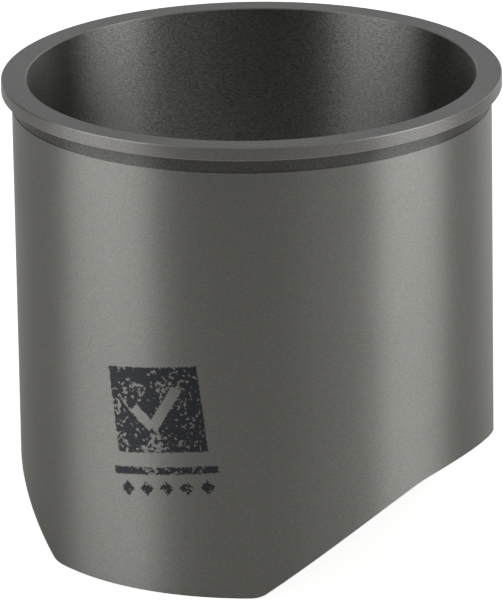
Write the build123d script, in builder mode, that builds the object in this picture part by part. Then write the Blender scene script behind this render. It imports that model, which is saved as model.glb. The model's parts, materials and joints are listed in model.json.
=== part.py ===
# Cylinder liner: a thin cast-iron sleeve, turned in one piece, that is pressed into an engine cylinder.
#
# The flange at the top drops into a counterbore and the cylinder head clamps it there. The bore runs
# straight through. The skirt is cut away along the crankshaft so that the crank webs can swing past,
# which leaves two tongues that guide the piston on its thrust sides.
#
# Frame, in millimetres: +Z runs up the bore and z = 0 is the plane of the tongues' feet. +X runs along
# the crankshaft, so the tongues stand at -Y and +Y. The origin is on the bore's axis.

from build123d import *

import os
from math import hypot, isclose, sqrt

# Sleeve
BORE_DIAMETER = 96.0
BARREL_WALL = 3.2
LINER_HEIGHT = 100.4

# Flange that hangs the liner in its counterbore
FLANGE_REACH = 2.2
FLANGE_THICKNESS = 2.8

# Relief turned under the flange, so that it seats flat on the counterbore's step
RELIEF_WIDTH = 3.3
RELIEF_DEPTH = 0.35
RELIEF_CORNER_RADIUS = 0.25

# Clearance for the crank webs, cut along the crankshaft between the two tongues: the webs' round
# swing about an axis below the feet, its top cut short by a flatter crown. The crankshaft stands a
# little to +Y of the bore's axis, so the tongue at -Y is the wider one, and its width is given.
CRANK_OFFSET = 1.5
TONGUE_WIDTH = 49.8
CLEARANCE_HEIGHT = 22.25
CROWN_DROP = 1.3
CROWN_RADIUS = 94.0
CROWN_BLEND_RADIUS = 28.0
TONGUE_CORNER_RADIUS = 1.9

# Broken edges
BORE_LEAD_IN = 0.2
FLANGE_EDGE_BREAK = 0.2
SKIRT_LEAD_IN = 0.2
SKIRT_INNER_RADIUS = 0.3

# Sizes that follow from those above
BORE_RADIUS = BORE_DIAMETER / 2
BARREL_RADIUS = BORE_RADIUS + BARREL_WALL
FLANGE_RADIUS = BARREL_RADIUS + FLANGE_REACH
RELIEF_RADIUS = BARREL_RADIUS - RELIEF_DEPTH
SEAT_HEIGHT = LINER_HEIGHT - FLANGE_THICKNESS
BARREL_TOP = SEAT_HEIGHT - RELIEF_WIDTH
WEB_SWING_REACH = CRANK_OFFSET + sqrt(BARREL_RADIUS**2 - (TONGUE_WIDTH / 2) ** 2)
WEB_SWING_RISE = CLEARANCE_HEIGHT + CROWN_DROP
WEB_SWING_RADIUS = (WEB_SWING_REACH**2 + WEB_SWING_RISE**2) / (2 * WEB_SWING_RISE)
CUT_LENGTH = 2 * FLANGE_RADIUS
RIM_TOLERANCE = 0.001


def skirt_rim(sleeve, wall_radius):
    """The edges along the bottom of the wall of this radius: the feet, and the clearance between them."""

    def on_rim(edge):
        middle = edge @ 0.5
        on_wall = isclose(hypot(middle.X, middle.Y), wall_radius, abs_tol=RIM_TOLERANCE)
        return on_wall and middle.Z < CLEARANCE_HEIGHT + RIM_TOLERANCE

    return sleeve.edges().filter_by(on_rim)


with BuildPart() as cylinder_liner:
    # The turned sleeve: one wall section, swept round the bore's axis
    with BuildSketch(Plane.XZ) as wall_section:
        with BuildLine():
            Polyline(
                (BORE_RADIUS, 0),
                (BARREL_RADIUS, 0),
                (BARREL_RADIUS, BARREL_TOP),
                (RELIEF_RADIUS, BARREL_TOP),
                (RELIEF_RADIUS, SEAT_HEIGHT),
                (FLANGE_RADIUS, SEAT_HEIGHT),
                (FLANGE_RADIUS, LINER_HEIGHT),
                (BORE_RADIUS, LINER_HEIGHT),
                close=True,
            )
        make_face()
        relief_corners = wall_section.vertices().filter_by_position(
            Axis.X, RELIEF_RADIUS, RELIEF_RADIUS
        )
        fillet(relief_corners, RELIEF_CORNER_RADIUS)
        rim_corners = wall_section.vertices().filter_by_position(
            Axis.X, FLANGE_RADIUS, FLANGE_RADIUS
        )
        chamfer(rim_corners, FLANGE_EDGE_BREAK)
        bore_mouth = wall_section.vertices().group_by(Axis.Y)[-1].sort_by(Axis.X)[0]
        chamfer(bore_mouth, BORE_LEAD_IN)
    revolve(axis=Axis.Z)

    # The crank-web clearance, drawn across the crankshaft and cut straight through both sides. The
    # swing and its crown are drawn small by the blend's radius and then grown by it, which leaves
    # them run together where they meet. Growing and shrinking the whole outline, with the space
    # under the feet added, rounds the tongues' corners in the same way.
    with BuildSketch(Plane.YZ):
        with Locations((CRANK_OFFSET, WEB_SWING_RISE - WEB_SWING_RADIUS)):
            Circle(WEB_SWING_RADIUS - CROWN_BLEND_RADIUS)
        with Locations((0, CLEARANCE_HEIGHT - CROWN_RADIUS)):
            Circle(CROWN_RADIUS - CROWN_BLEND_RADIUS, mode=Mode.INTERSECT)
        offset(amount=CROWN_BLEND_RADIUS)
        Rectangle(2 * CUT_LENGTH, CUT_LENGTH, align=(Align.CENTER, Align.MAX))
        offset(amount=TONGUE_CORNER_RADIUS)
        offset(amount=-TONGUE_CORNER_RADIUS)
    extrude(amount=CUT_LENGTH / 2, both=True, mode=Mode.SUBTRACT)

    # The skirt's outer rim is chamfered all the way along, to lead the barrel into its bore, and its
    # inner rim is rounded over, so that nothing sharp stands where the piston leaves the bore
    chamfer(skirt_rim(cylinder_liner, BARREL_RADIUS), SKIRT_LEAD_IN)
    fillet(skirt_rim(cylinder_liner, BORE_RADIUS), SKIRT_INNER_RADIUS)

cylinder_liner.part.label = "cylinder_liner"

os.makedirs("parts", exist_ok=True)
export_step(cylinder_liner.part, "parts/cylinder_liner.step")
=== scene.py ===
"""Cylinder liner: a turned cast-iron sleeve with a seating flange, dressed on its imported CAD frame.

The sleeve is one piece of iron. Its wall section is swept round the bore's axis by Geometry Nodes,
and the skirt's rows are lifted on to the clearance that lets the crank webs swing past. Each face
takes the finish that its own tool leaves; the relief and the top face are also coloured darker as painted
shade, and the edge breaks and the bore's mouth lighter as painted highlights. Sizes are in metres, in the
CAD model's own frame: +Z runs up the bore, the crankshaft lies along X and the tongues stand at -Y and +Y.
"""

import json
import logging
import math
from dataclasses import dataclass
from enum import Enum

import bpy
from mathutils import Matrix, Vector


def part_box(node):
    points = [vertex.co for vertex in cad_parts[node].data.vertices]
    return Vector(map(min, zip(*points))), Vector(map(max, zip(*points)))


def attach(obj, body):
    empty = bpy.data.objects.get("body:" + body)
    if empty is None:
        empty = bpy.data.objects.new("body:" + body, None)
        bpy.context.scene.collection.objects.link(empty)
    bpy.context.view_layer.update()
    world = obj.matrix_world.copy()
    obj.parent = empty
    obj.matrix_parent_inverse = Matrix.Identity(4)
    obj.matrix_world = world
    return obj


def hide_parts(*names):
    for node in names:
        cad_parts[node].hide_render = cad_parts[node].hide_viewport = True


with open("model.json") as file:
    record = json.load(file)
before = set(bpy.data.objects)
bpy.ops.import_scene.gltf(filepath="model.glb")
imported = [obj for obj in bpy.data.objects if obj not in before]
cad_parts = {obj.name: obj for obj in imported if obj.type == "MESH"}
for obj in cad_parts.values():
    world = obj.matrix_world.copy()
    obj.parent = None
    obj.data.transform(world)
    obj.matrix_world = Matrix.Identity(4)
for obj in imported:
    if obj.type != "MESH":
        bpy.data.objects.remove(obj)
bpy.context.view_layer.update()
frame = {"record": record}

LOG = logging.getLogger("cylinder_liner")

NODE = "cylinder_liner"
BODY = "root"
MILLIMETRE = 0.001
Triple = tuple[float, float, float]
Colour = Triple
Value = bpy.types.NodeSocket | float | int | str | bool | tuple


class Zone(Enum):
    """The faces of the sleeve, each with a finish of its own."""

    BARREL = 0
    RELIEF = 1
    SEAT = 2
    FLANGE_RIM = 3
    TOP = 4
    BORE = 5
    CLEARANCE = 6
    EDGE = 7
    MOUTH = 8


class Lay(Enum):
    """Which way the tool marks run on a face."""

    ROUND_THE_WALL = "round_the_wall"
    ROUND_THE_FACE = "round_the_face"
    ALONG_THE_CUT = "along_the_cut"


class Wiring:
    """Adds nodes to one tree and joins them up, in a shader or in Geometry Nodes."""

    def __init__(self, tree: bpy.types.NodeTree) -> None:
        """Args:
            tree: the tree that the nodes go into.
        """
        self.tree = tree

    @staticmethod
    def _open(sockets: bpy.types.bpy_prop_collection, name: str) -> bpy.types.NodeSocket:
        """Finds the socket of that name that the node's settings leave in use.

        Args:
            sockets: a node's inputs or outputs.
            name: the socket's name.

        Returns:
            The socket.
        """
        return next(s for s in sockets if s.name == name and s.enabled)

    def add(self, kind: str, inputs: dict[str | int, Value] | None = None, **settings: object) -> bpy.types.Node:
        """Adds one node.

        Args:
            kind: the node's type.
            inputs: what each input takes, a value or another node's output, by name or by number.
            settings: the node's own properties.

        Returns:
            The node.
        """
        node = self.tree.nodes.new(kind)
        for name, value in settings.items():
            setattr(node, name, value)
        for key, value in (inputs or {}).items():
            socket = node.inputs[key] if isinstance(key, int) else self._open(node.inputs, key)
            if isinstance(value, bpy.types.NodeSocket):
                self.tree.links.new(value, socket)
            else:
                socket.default_value = value
        return node

    def out(self, node: bpy.types.Node, name: str) -> bpy.types.NodeSocket:
        """Returns the node's output of that name."""
        return self._open(node.outputs, name)

    def maths(self, operation: str, *operands: Value, clamp: bool = False) -> bpy.types.NodeSocket:
        """Does one sum.

        Args:
            operation: the sum, as a Math node names it.
            operands: its numbers or sockets, in order.
            clamp: keeps the answer between 0 and 1.

        Returns:
            The answer.
        """
        node = self.add("ShaderNodeMath", dict(enumerate(operands)), operation=operation, use_clamp=clamp)
        return node.outputs[0]

    def vector(self, x: Value, y: Value, z: Value) -> bpy.types.NodeSocket:
        """Returns a vector of three parts."""
        return self.add("ShaderNodeCombineXYZ", {"X": x, "Y": y, "Z": z}).outputs[0]

    def ramp(self, value: Value, low: float, high: float, start: float = 0.0, end: float = 1.0) -> bpy.types.NodeSocket:
        """Runs smoothly from one number to another as a value passes between two limits.

        Args:
            value: what is read.
            low: where the run starts.
            high: where the run ends.
            start: the number up to low.
            end: the number from high.

        Returns:
            The number.
        """
        inputs = {"Value": value, "From Min": low, "From Max": high, "To Min": start, "To Max": end}
        node = self.add("ShaderNodeMapRange", inputs, interpolation_type="SMOOTHSTEP")
        return self.out(node, "Result")

    def noise(self, vector: Value, scale: float, detail: float = 2.0, output: str = "Fac") -> bpy.types.NodeSocket:
        """Returns even noise about 0.5, with scale cells in each unit of the vector: one number, or a colour."""
        node = self.add("ShaderNodeTexNoise", {"Vector": vector, "Scale": scale, "Detail": detail})
        return self.out(node, output)


@dataclass(frozen=True)
class LinerSizes:
    """The liner's sizes, in metres: those that its mounts state, then the rest."""

    bore_radius: float
    barrel_radius: float
    flange_radius: float
    height: float
    seat_height: float
    relief_width: float = 3.3 * MILLIMETRE
    relief_depth: float = 0.12 * MILLIMETRE
    relief_corner: float = 0.1 * MILLIMETRE
    bore_lead_in: float = 0.2 * MILLIMETRE
    flange_edge: float = 0.2 * MILLIMETRE
    skirt_lead_in: float = 0.2 * MILLIMETRE
    skirt_inner_round: float = 0.3 * MILLIMETRE

    @classmethod
    def from_frame(cls) -> "LinerSizes":
        """Returns the sizes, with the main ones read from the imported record's mounts."""
        mounts = {mount["name"]: mount for mount in frame["record"]["mounts"]}
        radius = {name: mounts[name]["dims"]["r_mm"] * MILLIMETRE for name in ("bore", "barrel", "flange_rim")}
        return cls(
            bore_radius=radius["bore"],
            barrel_radius=radius["barrel"],
            flange_radius=radius["flange_rim"],
            height=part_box(NODE)[1].z,
            seat_height=mounts["flange_seat"]["pos_m"][2],
        )

    @property
    def barrel_top(self) -> float:
        """Height at which the barrel gives way to the relief."""
        return self.seat_height - self.relief_width

    @property
    def relief_radius(self) -> float:
        """Radius of the relief's floor."""
        return self.barrel_radius - self.relief_depth


@dataclass(frozen=True)
class WebClearance:
    """The skirt's cut-away: the crank webs' swing under a flatter crown, rounded out at the tongues.

    Its outline is a height above the feet for each place across the crankshaft. It is made of arcs:
    the crown, the swing and the tongues' corners, and then the feet.
    """

    barrel_radius: float
    crank_offset: float = 1.5 * MILLIMETRE
    """How far the swing's middle stands to +Y of the bore's axis."""
    tongue_width: float = 49.8 * MILLIMETRE
    """Width of the tongue at -Y, which is the wider one."""
    height: float = 22.25 * MILLIMETRE
    crown_drop: float = 1.3 * MILLIMETRE
    crown_radius: float = 94.0 * MILLIMETRE
    corner_radius: float = 1.9 * MILLIMETRE
    blend: float = 0.64 * MILLIMETRE
    """How near in height the crown and the swing run into one another."""

    def inputs(self) -> dict[str, float]:
        """Works out the arcs.

        Returns:
            The tree's inputs, by name: each arc's radius, its centre, and where it ends.
        """
        rise = self.height + self.crown_drop
        reach = self.crank_offset + math.sqrt(self.barrel_radius**2 - (self.tongue_width / 2) ** 2)
        swing = (reach**2 + rise**2) / (2 * rise)
        level = rise - swing
        corner = math.sqrt((swing + self.corner_radius) ** 2 - (self.corner_radius - level) ** 2)
        return {
            "Crown radius": self.crown_radius,
            "Crown level": self.height - self.crown_radius,
            "Swing offset": self.crank_offset,
            "Swing radius": swing,
            "Swing level": level,
            "Swing ends": corner * swing / (swing + self.corner_radius),
            "Corner radius": self.corner_radius,
            "Corner reach": corner,
            "Blend": self.blend,
        }


class WallSection:
    """The wall's section, drawn as one closed loop: up the outside, over the top and down the bore.

    Every point keeps its lift, the height that it holds above the clearance's surface, and the zone
    of the strip of wall that starts at it.
    """

    support = 0.04 * MILLIMETRE
    arc_rows = 4

    def __init__(self, sizes: LinerSizes) -> None:
        """Args:
            sizes: the liner's sizes.
        """
        self.sizes = sizes
        self.points: list[tuple[float, float]] = []
        self.lifts: list[float] = []
        self.zones: list[int] = []

    def _point(self, radius: float, height: float, zone: Zone, lift: float = 0.0) -> None:
        """Adds one point, from which a strip of that zone starts."""
        self.points.append((radius, height))
        self.lifts.append(lift)
        self.zones.append(zone.value)

    def _line(self, start: tuple[float, float], end: tuple[float, float], zone: Zone, rows: int = 1) -> None:
        """Draws a straight run, with a narrow row at each end to keep its shading flat.

        Args:
            start: the run's first point, as radius and height.
            end: the point at which the next run starts.
            zone: the zone of the run.
            rows: how many rows it has between the narrow ones.
        """
        length = math.dist(start, end)
        edge = min(self.support / length, 0.25)
        for share in (0.0, *(edge + (1 - 2 * edge) * row / rows for row in range(rows + 1))):
            point = [a + (b - a) * share for a, b in zip(start, end)]
            self._point(*point, zone)

    def _arc(self, centre: tuple[float, float], radius: float, first: float, last: float, zone: Zone) -> None:
        """Draws a round run, without its last point.

        Args:
            centre: the arc's centre, as radius and height.
            radius: its own radius.
            first: the angle it starts at, in degrees from straight outwards, rising upwards.
            last: the angle it ends at.
            zone: the zone of the run.
        """
        for row in range(self.arc_rows):
            angle = math.radians(first + (last - first) * row / self.arc_rows)
            self._point(centre[0] + radius * math.cos(angle), centre[1] + radius * math.sin(angle), zone)

    def draw(self) -> bpy.types.Mesh:
        """Draws the whole loop.

        Returns:
            The loop as a mesh of points and edges in the XZ plane, with its lifts and zones.
        """
        s = self.sizes
        barrel, relief, flange, bore = s.barrel_radius, s.relief_radius, s.flange_radius, s.bore_radius
        top, seat, barrel_top = s.height, s.seat_height, s.barrel_top
        corner, edge = s.relief_corner, s.flange_edge

        self._line((barrel, 0.0), (barrel, barrel_top), Zone.BARREL, rows=12)
        self.lifts[:2] = [s.skirt_lead_in] * 2
        self._point(barrel, barrel_top, Zone.RELIEF)
        self._arc((relief + corner, barrel_top + corner), corner, 270, 180, Zone.RELIEF)
        self._line((relief, barrel_top + corner), (relief, seat - corner), Zone.RELIEF)
        self._arc((relief + corner, seat - corner), corner, 180, 90, Zone.RELIEF)
        self._line((relief + corner, seat), (flange - edge, seat), Zone.SEAT, rows=2)
        self._line((flange - edge, seat), (flange, seat + edge), Zone.EDGE)
        self._line((flange, seat + edge), (flange, top - edge), Zone.FLANGE_RIM, rows=2)
        self._line((flange, top - edge), (flange - edge, top), Zone.EDGE)
        self._line((flange - edge, top), (bore + s.bore_lead_in, top), Zone.TOP, rows=4)
        self._line((bore + s.bore_lead_in, top), (bore, top - s.bore_lead_in), Zone.MOUTH)
        self._line((bore, top - s.bore_lead_in), (bore, 0.0), Zone.BORE, rows=12)
        self._skirt_round()
        self._line((bore + s.skirt_inner_round, 0.0), (barrel - s.skirt_lead_in, 0.0), Zone.CLEARANCE, rows=4)
        self._point(barrel - s.skirt_lead_in, 0.0, Zone.CLEARANCE)

        mesh = bpy.data.meshes.new("wall_section")
        count = len(self.points)
        edges = [(i, (i + 1) % count) for i in range(count)]
        mesh.from_pydata([(radius, 0.0, height) for radius, height in self.points], edges, [])
        mesh.attributes.new("lift", "FLOAT", "POINT").data.foreach_set("value", self.lifts)
        mesh.attributes.new("zone", "INT", "POINT").data.foreach_set("value", self.zones)
        return mesh

    def _skirt_round(self) -> None:
        """Rounds the bore's wall over into the skirt's lower face."""
        bore, size = self.sizes.bore_radius, self.sizes.skirt_inner_round
        self.lifts[-1] = size
        for row in range(self.arc_rows):
            angle = math.pi / 2 * row / self.arc_rows
            self._point(bore + size * (1 - math.cos(angle)), 0.0, Zone.CLEARANCE, lift=size * (1 - math.sin(angle)))


class SleeveTree:
    """The Geometry Nodes tree that sweeps the wall section round the bore and cuts the skirt away."""

    seam_gap = 0.001 * MILLIMETRE

    def __init__(self, finishes: dict[Zone, bpy.types.Material]) -> None:
        """Args:
            finishes: the material of each zone.
        """
        self.tree = bpy.data.node_groups.new("sweep_the_sleeve", "GeometryNodeTree")
        self.wiring = Wiring(self.tree)
        self.finishes = finishes

    def _inputs(self, clearance: dict[str, float]) -> bpy.types.Node:
        """Names the tree's inputs.

        Args:
            clearance: the clearance's arcs, whose names become inputs.

        Returns:
            The node that gives the inputs.
        """
        socket = self.tree.interface.new_socket
        socket(name="Section", in_out="INPUT", socket_type="NodeSocketGeometry")
        for name in ("Steps round", "Rows"):
            socket(name=name, in_out="INPUT", socket_type="NodeSocketInt")
        for name in ("Barrel top", *clearance):
            socket(name=name, in_out="INPUT", socket_type="NodeSocketFloat")
        socket(name="Sleeve", in_out="OUTPUT", socket_type="NodeSocketGeometry")
        return self.wiring.add("NodeGroupInput")

    def _arc_level(self, given: Value, arc: str, offset: Value) -> bpy.types.NodeSocket:
        """Works out the height of one of the clearance's upright arcs.

        Args:
            given: the node that gives the tree's inputs.
            arc: the arc's name.
            offset: the distance from the arc's own middle.

        Returns:
            Its height above the feet.
        """
        w = self.wiring
        squares = [w.maths("MULTIPLY", side, side) for side in (w.out(given, f"{arc} radius"), offset)]
        rise = w.maths("SQRT", w.maths("SUBTRACT", *squares))
        return w.maths("ADD", rise, w.out(given, f"{arc} level"))

    def _clearance_level(self, given: bpy.types.Node, y: Value) -> bpy.types.NodeSocket:
        """Works out the clearance's height for a place across the crankshaft.

        Args:
            given: the node that gives the tree's inputs.
            y: that place.

        Returns:
            The height above the feet.
        """
        w = self.wiring
        reach = w.maths("ABSOLUTE", w.maths("SUBTRACT", y, w.out(given, "Swing offset")))
        crown = self._arc_level(given, "Crown", y)
        swing = self._arc_level(given, "Swing", reach)
        radius = w.out(given, "Corner radius")
        inset = w.maths("SUBTRACT", w.out(given, "Corner reach"), reach)
        drop = w.maths("SUBTRACT", w.maths("MULTIPLY", radius, radius), w.maths("MULTIPLY", inset, inset))
        corner = w.maths("SUBTRACT", radius, w.maths("SQRT", drop))
        level: Value = w.maths("SMOOTH_MIN", crown, swing, w.out(given, "Blend"))
        for height, limit in ((corner, "Swing ends"), (0.0, "Corner reach")):
            past = w.add("FunctionNodeCompare", {"A": reach, "B": w.out(given, limit)}, operation="GREATER_THAN")
            choice = {"Switch": w.out(past, "Result"), "False": level, "True": height}
            level = w.out(w.add("GeometryNodeSwitch", choice, input_type="FLOAT"), "Output")
        return level

    def build(self, clearance: dict[str, float]) -> bpy.types.NodeTree:
        """Builds the tree.

        Args:
            clearance: the clearance's arcs.

        Returns:
            The tree.
        """
        w = self.wiring
        given = self._inputs(clearance)
        section, steps, rows = (w.out(given, name) for name in ("Section", "Steps round", "Rows"))

        grid = w.add(
            "GeometryNodeMeshGrid",
            {"Vertices X": w.maths("ADD", steps, 1), "Vertices Y": w.maths("ADD", rows, 1)},
        )
        index = w.add("GeometryNodeInputIndex").outputs[0]
        column = w.maths("ADD", rows, 1)
        step = w.maths("FLOOR", w.maths("DIVIDE", w.maths("ADD", index, 0.5), column))
        row = w.maths("MODULO", w.maths("SUBTRACT", index, w.maths("MULTIPLY", step, column)), rows)

        def sampled(value: Value, kind: str, at: Value) -> bpy.types.NodeSocket:
            """Reads the section at one of its points."""
            inputs = {"Geometry": section, "Value": value, "Index": at}
            return w.out(w.add("GeometryNodeSampleIndex", inputs, data_type=kind), "Value")

        def named(name: str, kind: str) -> bpy.types.NodeSocket:
            """Reads a named attribute."""
            return w.out(w.add("GeometryNodeInputNamedAttribute", {"Name": name}, data_type=kind), "Attribute")

        place = sampled(w.add("GeometryNodeInputPosition").outputs[0], "FLOAT_VECTOR", row)
        parts = w.add("ShaderNodeSeparateXYZ", {"Vector": place})
        radius, height = parts.outputs["X"], parts.outputs["Z"]
        angle = w.maths("DIVIDE", w.maths("MULTIPLY", step, math.tau), steps)
        x = w.maths("MULTIPLY", radius, w.maths("COSINE", angle))
        y = w.maths("MULTIPLY", radius, w.maths("SINE", angle))

        level = self._clearance_level(given, y)
        share = w.maths("SUBTRACT", 1.0, w.maths("DIVIDE", height, w.out(given, "Barrel top")), clamp=True)
        lifted = w.maths("ADD", w.maths("MULTIPLY", level, share), sampled(named("lift", "FLOAT"), "FLOAT", row))
        where = w.vector(x, y, w.maths("ADD", height, lifted))
        swept = w.add("GeometryNodeSetPosition", {"Geometry": w.out(grid, "Mesh"), "Position": where})

        zone = sampled(named("zone", "INT"), "INT", w.maths("MODULO", index, rows))
        marked = w.add(
            "GeometryNodeStoreNamedAttribute",
            {"Geometry": swept.outputs[0], "Name": "zone", "Value": zone},
            data_type="INT",
            domain="FACE",
        )
        closed = w.add("GeometryNodeMergeByDistance", {"Geometry": marked.outputs[0], "Distance": self.seam_gap})
        made = w.add("GeometryNodeRealizeInstances", {"Geometry": closed.outputs[0]}).outputs[0]
        for face, finish in self.finishes.items():
            inside = w.add(
                "FunctionNodeCompare",
                {"A": named("zone", "INT"), "B": face.value},
                data_type="INT",
                operation="EQUAL",
            )
            inputs = {"Geometry": made, "Selection": w.out(inside, "Result"), "Material": finish}
            made = w.add("GeometryNodeSetMaterial", inputs).outputs[0]
        w.add("NodeGroupOutput", {"Sleeve": made})
        return self.tree


@dataclass(frozen=True)
class MachinedIron:
    """A face of bare cast iron as one tool leaves it: turned, faced, honed or milled. Its colour can also carry painted
    shade or a painted highlight, where a zone is given one.
    """

    name: str
    lay: Lay
    colour: Colour = (0.337, 0.333, 0.309)
    roughness: float = 0.36
    spread: float = 0.6
    """How far the tool marks draw a highlight out across themselves, from 0 to 1."""
    groove: float = 0.28 * MILLIMETRE
    """Distance from one tool mark to the next."""
    groove_length: float = 0.7 * MILLIMETRE
    groove_depth: float = 1.0e-6
    grain: float = 0.3 * MILLIMETRE
    grain_depth: float = 1.6e-6
    fleck: float = 0.05
    """How far the grain lightens and darkens the iron."""
    streak: float = 0.05
    """How far the tool marks lighten and darken it."""
    polish: float = 0.0
    """How much less rough it is on the lighter tool marks."""
    tint: float = 0.2
    """How far the grain's own colour strays."""
    tint_share: float = 0.7
    """How many patches of strayed colour there are for each cell of the grain."""
    grain_rough: float = 0.03
    """How far the grain sways the roughness."""
    cloud: float = 22 * MILLIMETRE
    """Size of the soft patches of lighter and darker iron."""
    cloud_tone: float = 0.03
    cloud_rough: float = 0.02

    def material(self) -> bpy.types.Material:
        """Returns the finish as a material."""
        made = bpy.data.materials.new(self.name)
        made.use_nodes = True
        made.node_tree.nodes.clear()
        wiring = Wiring(made.node_tree)
        shader = self.shader(wiring)
        wiring.add("ShaderNodeOutputMaterial", {"Surface": shader})
        return made

    def shader(self, w: Wiring) -> bpy.types.NodeSocket:
        """Wires the finish up.

        Args:
            w: the material's wiring.

        Returns:
            The surface.
        """
        place = w.add("ShaderNodeTexCoord").outputs["Object"]
        parts = w.add("ShaderNodeSeparateXYZ", {"Vector": place})
        x, y, z = (parts.outputs[axis] for axis in "XYZ")
        marks = self._marks(w, x, y, z)
        grain = w.noise(place, 1 / self.grain, detail=1.0)
        hue = w.noise(place, self.tint_share / self.grain, detail=1.0, output="Color")
        cloud = w.noise(place, 1 / self.cloud, detail=3.0)

        height = w.maths(
            "ADD",
            w.maths("MULTIPLY", marks, self.groove_depth),
            w.maths("MULTIPLY", grain, self.grain_depth),
        )
        bump = w.add("ShaderNodeBump", {"Height": height, "Distance": 1.0})
        sways = w.maths("ADD", self._sway(w, cloud, self.cloud_tone), self._sway(w, marks, self.streak))
        tone = w.maths("ADD", self._sway(w, grain, self.fleck, middle=1.0), sways)
        lit = w.add("ShaderNodeVectorMath", {0: self.colour, "Scale": tone}, operation="SCALE").outputs[0]
        strays = {0: hue, 1: (self.tint,) * 3, 2: (1 - self.tint / 2,) * 3}
        strayed = w.add("ShaderNodeVectorMath", strays, operation="MULTIPLY_ADD").outputs[0]
        colour = w.add("ShaderNodeVectorMath", {0: lit, 1: strayed}, operation="MULTIPLY").outputs[0]
        sways = w.maths("ADD", self._sway(w, grain, self.grain_rough), self._sway(w, marks, -self.polish))
        rough = w.maths("ADD", self._sway(w, cloud, self.cloud_rough), sways)
        inputs = {
            "Base Color": colour,
            "Metallic": 1.0,
            "Roughness": w.maths("ADD", rough, self.roughness),
            "Anisotropic": self.spread,
            "Normal": bump.outputs[0],
            "Tangent": self._across(w, x, y),
        }
        return self.surface(w, inputs, (x, y, z))

    def surface(
        self, w: Wiring, inputs: dict[str, Value], place: tuple[Value, Value, Value]
    ) -> bpy.types.NodeSocket:
        """Makes the surface itself.

        Args:
            w: the material's wiring.
            inputs: what the shader takes, by name.
            place: the three parts of the place on the object.

        Returns:
            The surface.
        """
        return w.add("ShaderNodeBsdfPrincipled", inputs).outputs[0]

    @staticmethod
    def _sway(w: Wiring, noise: Value, reach: float, middle: float = 0.0) -> bpy.types.NodeSocket:
        """Returns a number that noise sways by up to a reach either way from its middle."""
        return w.ramp(noise, 0.3, 0.7, middle - reach, middle + reach)

    def _marks(self, w: Wiring, x: Value, y: Value, z: Value) -> bpy.types.NodeSocket:
        """Returns the tool marks: noise drawn out along the lay and close across it."""
        along, across = 1 / self.groove_length, 1 / self.groove
        if self.lay is Lay.ALONG_THE_CUT:
            stretched = w.vector(
                w.maths("MULTIPLY", x, along), w.maths("MULTIPLY", y, across), w.maths("MULTIPLY", z, across)
            )
        else:
            cross = z
            if self.lay is Lay.ROUND_THE_FACE:
                cross = self._radius(w, x, y)
            stretched = w.vector(
                w.maths("MULTIPLY", x, along), w.maths("MULTIPLY", y, along), w.maths("MULTIPLY", cross, across)
            )
        return w.noise(stretched, 1.0, detail=2.0)

    @staticmethod
    def _radius(w: Wiring, x: Value, y: Value) -> bpy.types.NodeSocket:
        """Returns the distance from the bore's axis."""
        return w.maths("SQRT", w.maths("ADD", w.maths("MULTIPLY", x, x), w.maths("MULTIPLY", y, y)))

    def _across(self, w: Wiring, x: Value, y: Value) -> Value:
        """Returns the direction across the tool marks, in which they spread a highlight."""
        if self.lay is Lay.ROUND_THE_WALL:
            return w.vector(0.0, 0.0, 1.0)
        if self.lay is Lay.ROUND_THE_FACE:
            return w.vector(x, y, 0.0)
        return w.vector(0.0, 1.0, 0.2)


@dataclass(frozen=True)
class Stroke:
    """One straight stroke of the inspection mark, in millimetres from the mark's middle."""

    across: float
    up: float
    reach: float
    """Half its length."""
    half_width: float
    slope: float = 0.0
    """How far it is turned up from level, in degrees."""


BLOCK = Stroke(0.0, 4.2, reach=10.4, half_width=9.4)
TICK = (
    Stroke(-3.4, 2.6, reach=2.9, half_width=1.15, slope=-48),
    Stroke(1.9, 4.4, reach=5.6, half_width=1.15, slope=52),
)
BAR = Stroke(0.0, -9.3, reach=12.0, half_width=0.8)
DOTS = tuple(Stroke(4.6 * dot, -13.2, reach=1.15, half_width=1.15, slope=45) for dot in range(-2, 3))


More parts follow.
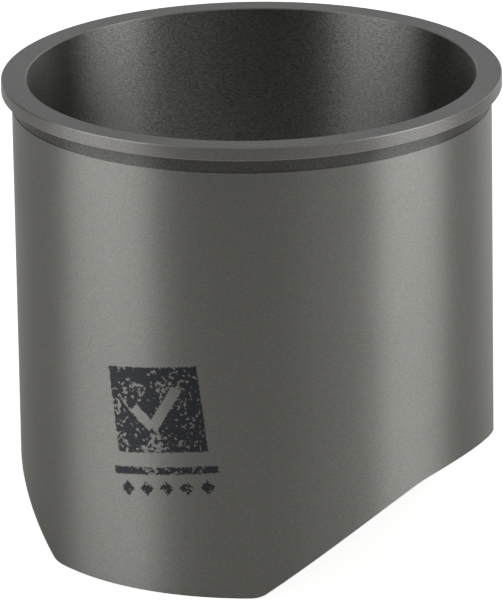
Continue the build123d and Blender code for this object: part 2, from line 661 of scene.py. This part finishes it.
@dataclass(frozen=True)
class InspectedIron(MachinedIron):
    """Turned iron that carries a worn inspection mark in dark ink: a square block with a tick left
    bare in it, over a bar and a row of dots."""

    radius: float = 51.2 * MILLIMETRE
    bearing: float = math.radians(-85.0)
    middle: float = 36.8 * MILLIMETRE
    tilt: float = math.radians(7.0)
    ink: Colour = (0.020, 0.023, 0.030)
    ink_roughness: float = 0.45
    ragged: float = 0.9
    """How far the ink's outline strays, in millimetres."""
    soft: float = 0.12
    """Half the width over which the ink fades at its outline, in millimetres."""
    ragged_cells: float = 2200.0
    """Cells in each metre of the outline's straying."""
    patch_cells: float = 160.0
    speck_cells: float = 1300.0
    bare_below: float = 0.60
    """Level of specks and patches under which the iron stays bare."""
    inked_above: float = 0.68

    def surface(
        self, w: Wiring, inputs: dict[str, Value], place: tuple[Value, Value, Value]
    ) -> bpy.types.NodeSocket:
        """Inks the mark on to the iron.

        Args:
            w: the material's wiring.
            inputs: what the bare iron's shader takes, by name.
            place: the three parts of the place on the object.

        Returns:
            The surface.
        """
        inked = self._worn(w, self._mark(w, *place), place)
        tones = {"Factor": inked, "A": inputs["Base Color"], "B": (*self.ink, 1.0)}
        colour = w.add("ShaderNodeMix", tones, data_type="RGBA")
        rough = w.add("ShaderNodeMix", {"Factor": inked, "A": inputs["Roughness"], "B": self.ink_roughness})
        changed = {
            "Base Color": w.out(colour, "Result"),
            "Metallic": w.maths("SUBTRACT", 1.0, inked),
            "Roughness": w.out(rough, "Result"),
        }
        return super().surface(w, inputs | changed, place)

    def _mark(self, w: Wiring, x: Value, y: Value, z: Value) -> bpy.types.NodeSocket:
        """Draws the mark.

        Args:
            w: the material's wiring.
            x: the place along X.
            y: the place along Y.
            z: the place along Z.

        Returns:
            How far each place lies outside the ink, in millimetres.
        """
        turn = w.maths("SUBTRACT", w.maths("ARCTAN2", y, x), self.bearing)
        across = w.maths("MULTIPLY", turn, self.radius / MILLIMETRE)
        up = w.maths("MULTIPLY", w.maths("SUBTRACT", z, self.middle), 1 / MILLIMETRE)
        u, v = self._turned(w, across, up, self.tilt)

        tick = w.maths("MINIMUM", *(self._outside(w, u, v, stroke) for stroke in TICK))
        ink = w.maths("MAXIMUM", self._outside(w, u, v, BLOCK), w.maths("MULTIPLY", tick, -1.0))
        for stroke in (BAR, *DOTS):
            ink = w.maths("MINIMUM", ink, self._outside(w, u, v, stroke))
        return ink

    @staticmethod
    def _turned(w: Wiring, u: Value, v: Value, angle: float) -> tuple[Value, Value]:
        """Returns two co-ordinates as they read on axes turned by an angle."""
        cosine, sine = math.cos(angle), math.sin(angle)
        along = w.maths("ADD", w.maths("MULTIPLY", u, cosine), w.maths("MULTIPLY", v, sine))
        across = w.maths("SUBTRACT", w.maths("MULTIPLY", v, cosine), w.maths("MULTIPLY", u, sine))
        return along, across

    def _outside(self, w: Wiring, u: Value, v: Value, stroke: Stroke) -> bpy.types.NodeSocket:
        """Returns how far a place lies outside one stroke, in millimetres."""
        moved = w.maths("SUBTRACT", u, stroke.across), w.maths("SUBTRACT", v, stroke.up)
        along, across = self._turned(w, *moved, math.radians(stroke.slope))
        ends = w.maths("SUBTRACT", w.maths("ABSOLUTE", along), stroke.reach)
        sides = w.maths("SUBTRACT", w.maths("ABSOLUTE", across), stroke.half_width)
        return w.maths("MAXIMUM", ends, sides)

    def _worn(self, w: Wiring, outside: Value, place: tuple[Value, Value, Value]) -> bpy.types.NodeSocket:
        """Breaks the ink up, as a hand stamp prints on a turned wall.

        Args:
            w: the material's wiring.
            outside: how far each place lies outside the ink, in millimetres.
            place: the three parts of the place on the object.

        Returns:
            How much ink there is, from 0 to 1.
        """
        spot = w.vector(*place)
        ragged = w.maths("MULTIPLY", w.maths("SUBTRACT", w.noise(spot, self.ragged_cells), 0.5), self.ragged)
        printed = w.ramp(w.maths("ADD", outside, ragged), -self.soft, self.soft, 1.0, 0.0)
        patch = w.noise(spot, self.patch_cells, detail=1.0)
        speck = w.noise(spot, self.speck_cells)
        held = w.ramp(w.maths("ADD", speck, w.maths("MULTIPLY", patch, 0.5)), self.bare_below, self.inked_above)
        return w.maths("MULTIPLY", printed, held)


@dataclass(frozen=True)
class Softbox:
    """A tall soft lamp that stands beside the liner and faces it."""

    name: str
    bearing: float
    """Its angle round the bore's axis from +X, in degrees."""
    width: float
    level: float
    """How bright its face is, where 1 is white."""
    distance: float = 0.9
    height: float = 1.1
    middle: float = 0.5

    def hang(self, colour: Colour) -> None:
        """Adds the lamp to the scene.

        Args:
            colour: the colour of its light.
        """
        data = bpy.data.lights.new(self.name, "AREA")
        data.shape = "RECTANGLE"
        data.color = colour
        data.size, data.size_y = self.width, self.height
        data.energy = self.level * math.pi * self.width * self.height
        lamp = bpy.data.objects.new(self.name, data)
        bpy.context.scene.collection.objects.link(lamp)
        angle = math.radians(self.bearing)
        towards = Vector((math.cos(angle), math.sin(angle), 0.0))
        lamp.location = towards * self.distance + Vector((0.0, 0.0, self.middle))
        lamp.rotation_euler = (-towards).to_track_quat("-Z", "Y").to_euler()
        lamp.visible_camera = False


@dataclass(frozen=True)
class Studio:
    """The camera, the pale floor and the soft light round the liner."""

    azimuth: float = math.radians(28.9)
    """How far the camera stands round from the -Y side, towards +X."""
    camera_place: Triple = (-0.000768, -1.516870, 0.465045)
    """Camera's place from the middle of the top face, before it is swung round."""
    pitch: float = math.radians(-18.795)
    roll: float = math.radians(0.9335)
    lens: float = 446.45
    sensor: float = 36.0
    softboxes: tuple[Softbox, ...] = (
        Softbox("left_softbox", bearing=-133.5, width=0.78, level=1.88),
        Softbox("right_softbox", bearing=17.0, width=0.62, level=2.30),
        Softbox("back_softbox", bearing=108.0, width=0.85, level=0.52, distance=0.48, height=0.68, middle=0.33),
        Softbox("front_softbox", bearing=-24.0, width=0.50, level=0.25),
    )
    softbox_colour: Colour = (0.985, 1.0, 1.03)
    ceiling_height: float = 1.25
    ceiling_width: float = 1.4
    ceiling_level: float = 0.34
    room_front: float = 0.0
    room_back: float = 0.08
    room_turn: tuple[float, float] = (-0.1, 0.7)
    """Where the room turns from its front level to its back one, as the cosine from straight behind."""
    floor_reach: float = 4.0
    floor_colour: Colour = (0.82, 0.80, 0.77)
    floor_turn: tuple[float, float] = (0.0, 0.4)
    """Where the floor's shine turns from its front level to its back one, behind the liner."""
    floor_glow: float = 0.8
    """How much of the floor's white the camera sees wherever the light falls; the rest takes the shadow."""
    floor_front: float = 0.08
    floor_back: float = 0.16

    @property
    def away(self) -> Triple:
        """The level direction in which the camera looks."""
        return -math.sin(self.azimuth), math.cos(self.azimuth), 0.0

    def camera(self, top: float) -> None:
        """Places the camera.

        Args:
            top: the height of the liner's top face.
        """
        data = bpy.data.cameras.new("camera")
        data.lens = self.lens
        data.sensor_width = self.sensor
        camera = bpy.data.objects.new("camera", data)
        bpy.context.scene.collection.objects.link(camera)
        swing = Matrix.Rotation(self.azimuth, 4, "Z")
        place = swing @ Vector(self.camera_place) + Vector((0.0, 0.0, top))
        turn = swing @ Matrix.Rotation(math.pi / 2 + self.pitch, 4, "X") @ Matrix.Rotation(-self.roll, 4, "Z")
        camera.matrix_world = Matrix.Translation(place) @ turn
        bpy.context.scene.camera = camera

    def backdrop(self) -> None:
        """Lights the room: white to the camera, and to the iron pale behind the liner and dim in front."""
        world = bpy.data.worlds.new("room")
        world.use_nodes = True
        world.node_tree.nodes.clear()
        w = Wiring(world.node_tree)
        direction = w.add("ShaderNodeTexCoord").outputs["Generated"]
        facing = w.add("ShaderNodeVectorMath", {0: direction, 1: self.away}, operation="DOT_PRODUCT").outputs["Value"]
        room = w.ramp(facing, *self.room_turn, self.room_front, self.room_back)
        seen = w.add("ShaderNodeLightPath").outputs["Is Camera Ray"]
        level = w.add("ShaderNodeMix", {"Factor": seen, "A": room, "B": 1.0})
        background = w.add("ShaderNodeBackground", {"Strength": w.out(level, "Result")})
        w.add("ShaderNodeOutputWorld", {"Surface": background.outputs[0]})
        bpy.context.scene.world = world

    def floor(self) -> None:
        """Lays the pale floor, which keeps the liner's shadow."""
        reach = self.floor_reach
        mesh = bpy.data.meshes.new("floor")
        corners = [(-reach, -reach, 0.0), (reach, -reach, 0.0), (reach, reach, 0.0), (-reach, reach, 0.0)]
        mesh.from_pydata(corners, [], [(0, 1, 2, 3)])
        made = bpy.data.materials.new("pale_floor")
        made.use_nodes = True
        made.node_tree.nodes.clear()
        w = Wiring(made.node_tree)
        path = w.add("ShaderNodeLightPath").outputs
        place = w.add("ShaderNodeTexCoord").outputs["Object"]
        behind = w.add("ShaderNodeVectorMath", {0: place, 1: self.away}, operation="DOT_PRODUCT").outputs["Value"]
        shine = w.ramp(behind, *self.floor_turn, self.floor_front, self.floor_back)
        glow = w.maths(
            "ADD",
            w.maths("MULTIPLY", path["Is Camera Ray"], self.floor_glow),
            w.maths("MULTIPLY", w.maths("MAXIMUM", path["Is Glossy Ray"], path["Is Transmission Ray"]), shine),
        )
        inputs = {
            "Base Color": (*self.floor_colour, 1.0),
            "Roughness": 0.9,
            "Specular IOR Level": 0.0,
            "Emission Color": (1.0, 1.0, 1.0, 1.0),
            "Emission Strength": glow,
        }
        shader = w.add("ShaderNodeBsdfPrincipled", inputs)
        w.add("ShaderNodeOutputMaterial", {"Surface": shader.outputs[0]})
        mesh.materials.append(made)
        floor = bpy.data.objects.new("floor", mesh)
        bpy.context.scene.collection.objects.link(floor)

    def ceiling(self) -> None:
        """Hangs the dim lamp overhead."""
        data = bpy.data.lights.new("ceiling", "AREA")
        data.size = self.ceiling_width
        data.energy = self.ceiling_level * math.pi * self.ceiling_width**2
        lamp = bpy.data.objects.new("ceiling", data)
        bpy.context.scene.collection.objects.link(lamp)
        lamp.location = (0.0, 0.0, self.ceiling_height)
        lamp.visible_camera = False

    def build(self, top: float) -> None:
        """Sets the whole studio up.

        Args:
            top: the height of the liner's top face.
        """
        bpy.context.scene.view_settings.view_transform = "Standard"
        self.camera(top)
        self.backdrop()
        self.floor()
        self.ceiling()
        for lamp in self.softboxes:
            lamp.hang(self.softbox_colour)


@dataclass(frozen=True)
class CylinderLiner:
    """The liner: one turned and milled sleeve of cast iron."""

    sizes: LinerSizes
    clearance: WebClearance
    steps_round: int = 720
    sharp_edge: float = math.radians(30)

    def finishes(self) -> dict[Zone, bpy.types.Material]:
        """Returns the material of each zone."""
        wall, face, cut = Lay.ROUND_THE_WALL, Lay.ROUND_THE_FACE, Lay.ALONG_THE_CUT
        made = {
            Zone.BARREL: InspectedIron(
                "turned_barrel", wall, roughness=0.45, spread=0.85, grain_depth=2.2e-6, fleck=0.06, streak=0.06,
                radius=self.sizes.barrel_radius
            ),
            # Relief colour: darker than the barrel partly as the band's own duller turned iron and partly as painted
            # shade from the flange overhanging it.
            Zone.RELIEF: MachinedIron(
                "turned_relief", wall, (0.152, 0.149, 0.143), roughness=0.4, spread=0.85, fleck=0.17, streak=0.12
            ),
            Zone.SEAT: MachinedIron("faced_seat", face, roughness=0.45),
            Zone.FLANGE_RIM: MachinedIron(
                "turned_flange", wall, (0.297, 0.29, 0.274), roughness=0.42, spread=0.7, fleck=0.08, streak=0.08
            ),
            # Top face colour: darker than the barrel's iron as painted shade.
            Zone.TOP: MachinedIron("faced_top", face, (0.292, 0.286, 0.273), roughness=0.6, spread=0.3),
            Zone.BORE: MachinedIron(
                "honed_bore", wall, (0.337, 0.334, 0.314), roughness=0.41, spread=0.97,
                groove=0.25 * MILLIMETRE, groove_length=0.8 * MILLIMETRE, grain=0.34 * MILLIMETRE, grain_depth=6.0e-5,
                fleck=0.07, streak=0.24, polish=0.06, tint=0.3
            ),
            Zone.CLEARANCE: MachinedIron("milled_clearance", cut, roughness=0.42),
            # Edge break colour: much lighter than the iron, a painted highlight along the flange's chamfers.
            Zone.EDGE: MachinedIron("broken_edge", wall, (0.49, 0.48, 0.45), roughness=0.5, spread=0.8),
            # Mouth colour: a little lighter than the bore's iron, a painted highlight on the lead-in.
            Zone.MOUTH: MachinedIron("bore_mouth", wall, (0.36, 0.35, 0.33), roughness=0.42, spread=0.8),
        }
        return {zone: finish.material() for zone, finish in made.items()}

    def build(self) -> bpy.types.Object:
        """Sweeps the sleeve and puts it in the CAD node's place.

        Returns:
            The sleeve.
        """
        section = WallSection(self.sizes)
        blank = bpy.data.objects.new("wall_section", section.draw())
        bpy.context.scene.collection.objects.link(blank)
        arcs = self.clearance.inputs()
        tree = SleeveTree(self.finishes()).build(arcs)
        sweep = blank.modifiers.new("sweep", "NODES")
        sweep.node_group = tree
        given = {
            "Steps round": self.steps_round,
            "Rows": len(section.points),
            "Barrel top": self.sizes.barrel_top,
            **arcs,
        }
        for item in tree.interface.items_tree:
            if item.name in given:
                sweep[item.identifier] = given[item.name]

        depsgraph = bpy.context.evaluated_depsgraph_get()
        mesh = bpy.data.meshes.new_from_object(
            blank.evaluated_get(depsgraph), preserve_all_data_layers=True, depsgraph=depsgraph
        )
        mesh.name = "iron_sleeve"
        bpy.data.objects.remove(blank)
        mesh.shade_smooth()
        mesh.set_sharp_from_angle(angle=self.sharp_edge)
        sleeve = bpy.data.objects.new("iron_sleeve", mesh)
        bpy.context.scene.collection.objects.link(sleeve)
        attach(sleeve, BODY)
        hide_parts(NODE)
        return sleeve


def main() -> None:
    """Builds the studio and the liner."""
    logging.basicConfig(level=logging.INFO, format="%(name)s: %(message)s")
    sizes = LinerSizes.from_frame()
    Studio().build(sizes.height)
    LOG.info("studio set up")
    sleeve = CylinderLiner(sizes, WebClearance(sizes.barrel_radius)).build()
    LOG.info("%s: %d faces, %d finishes", sleeve.name, len(sleeve.data.polygons), len(sleeve.data.materials))


if __name__ == "__main__":
    main()
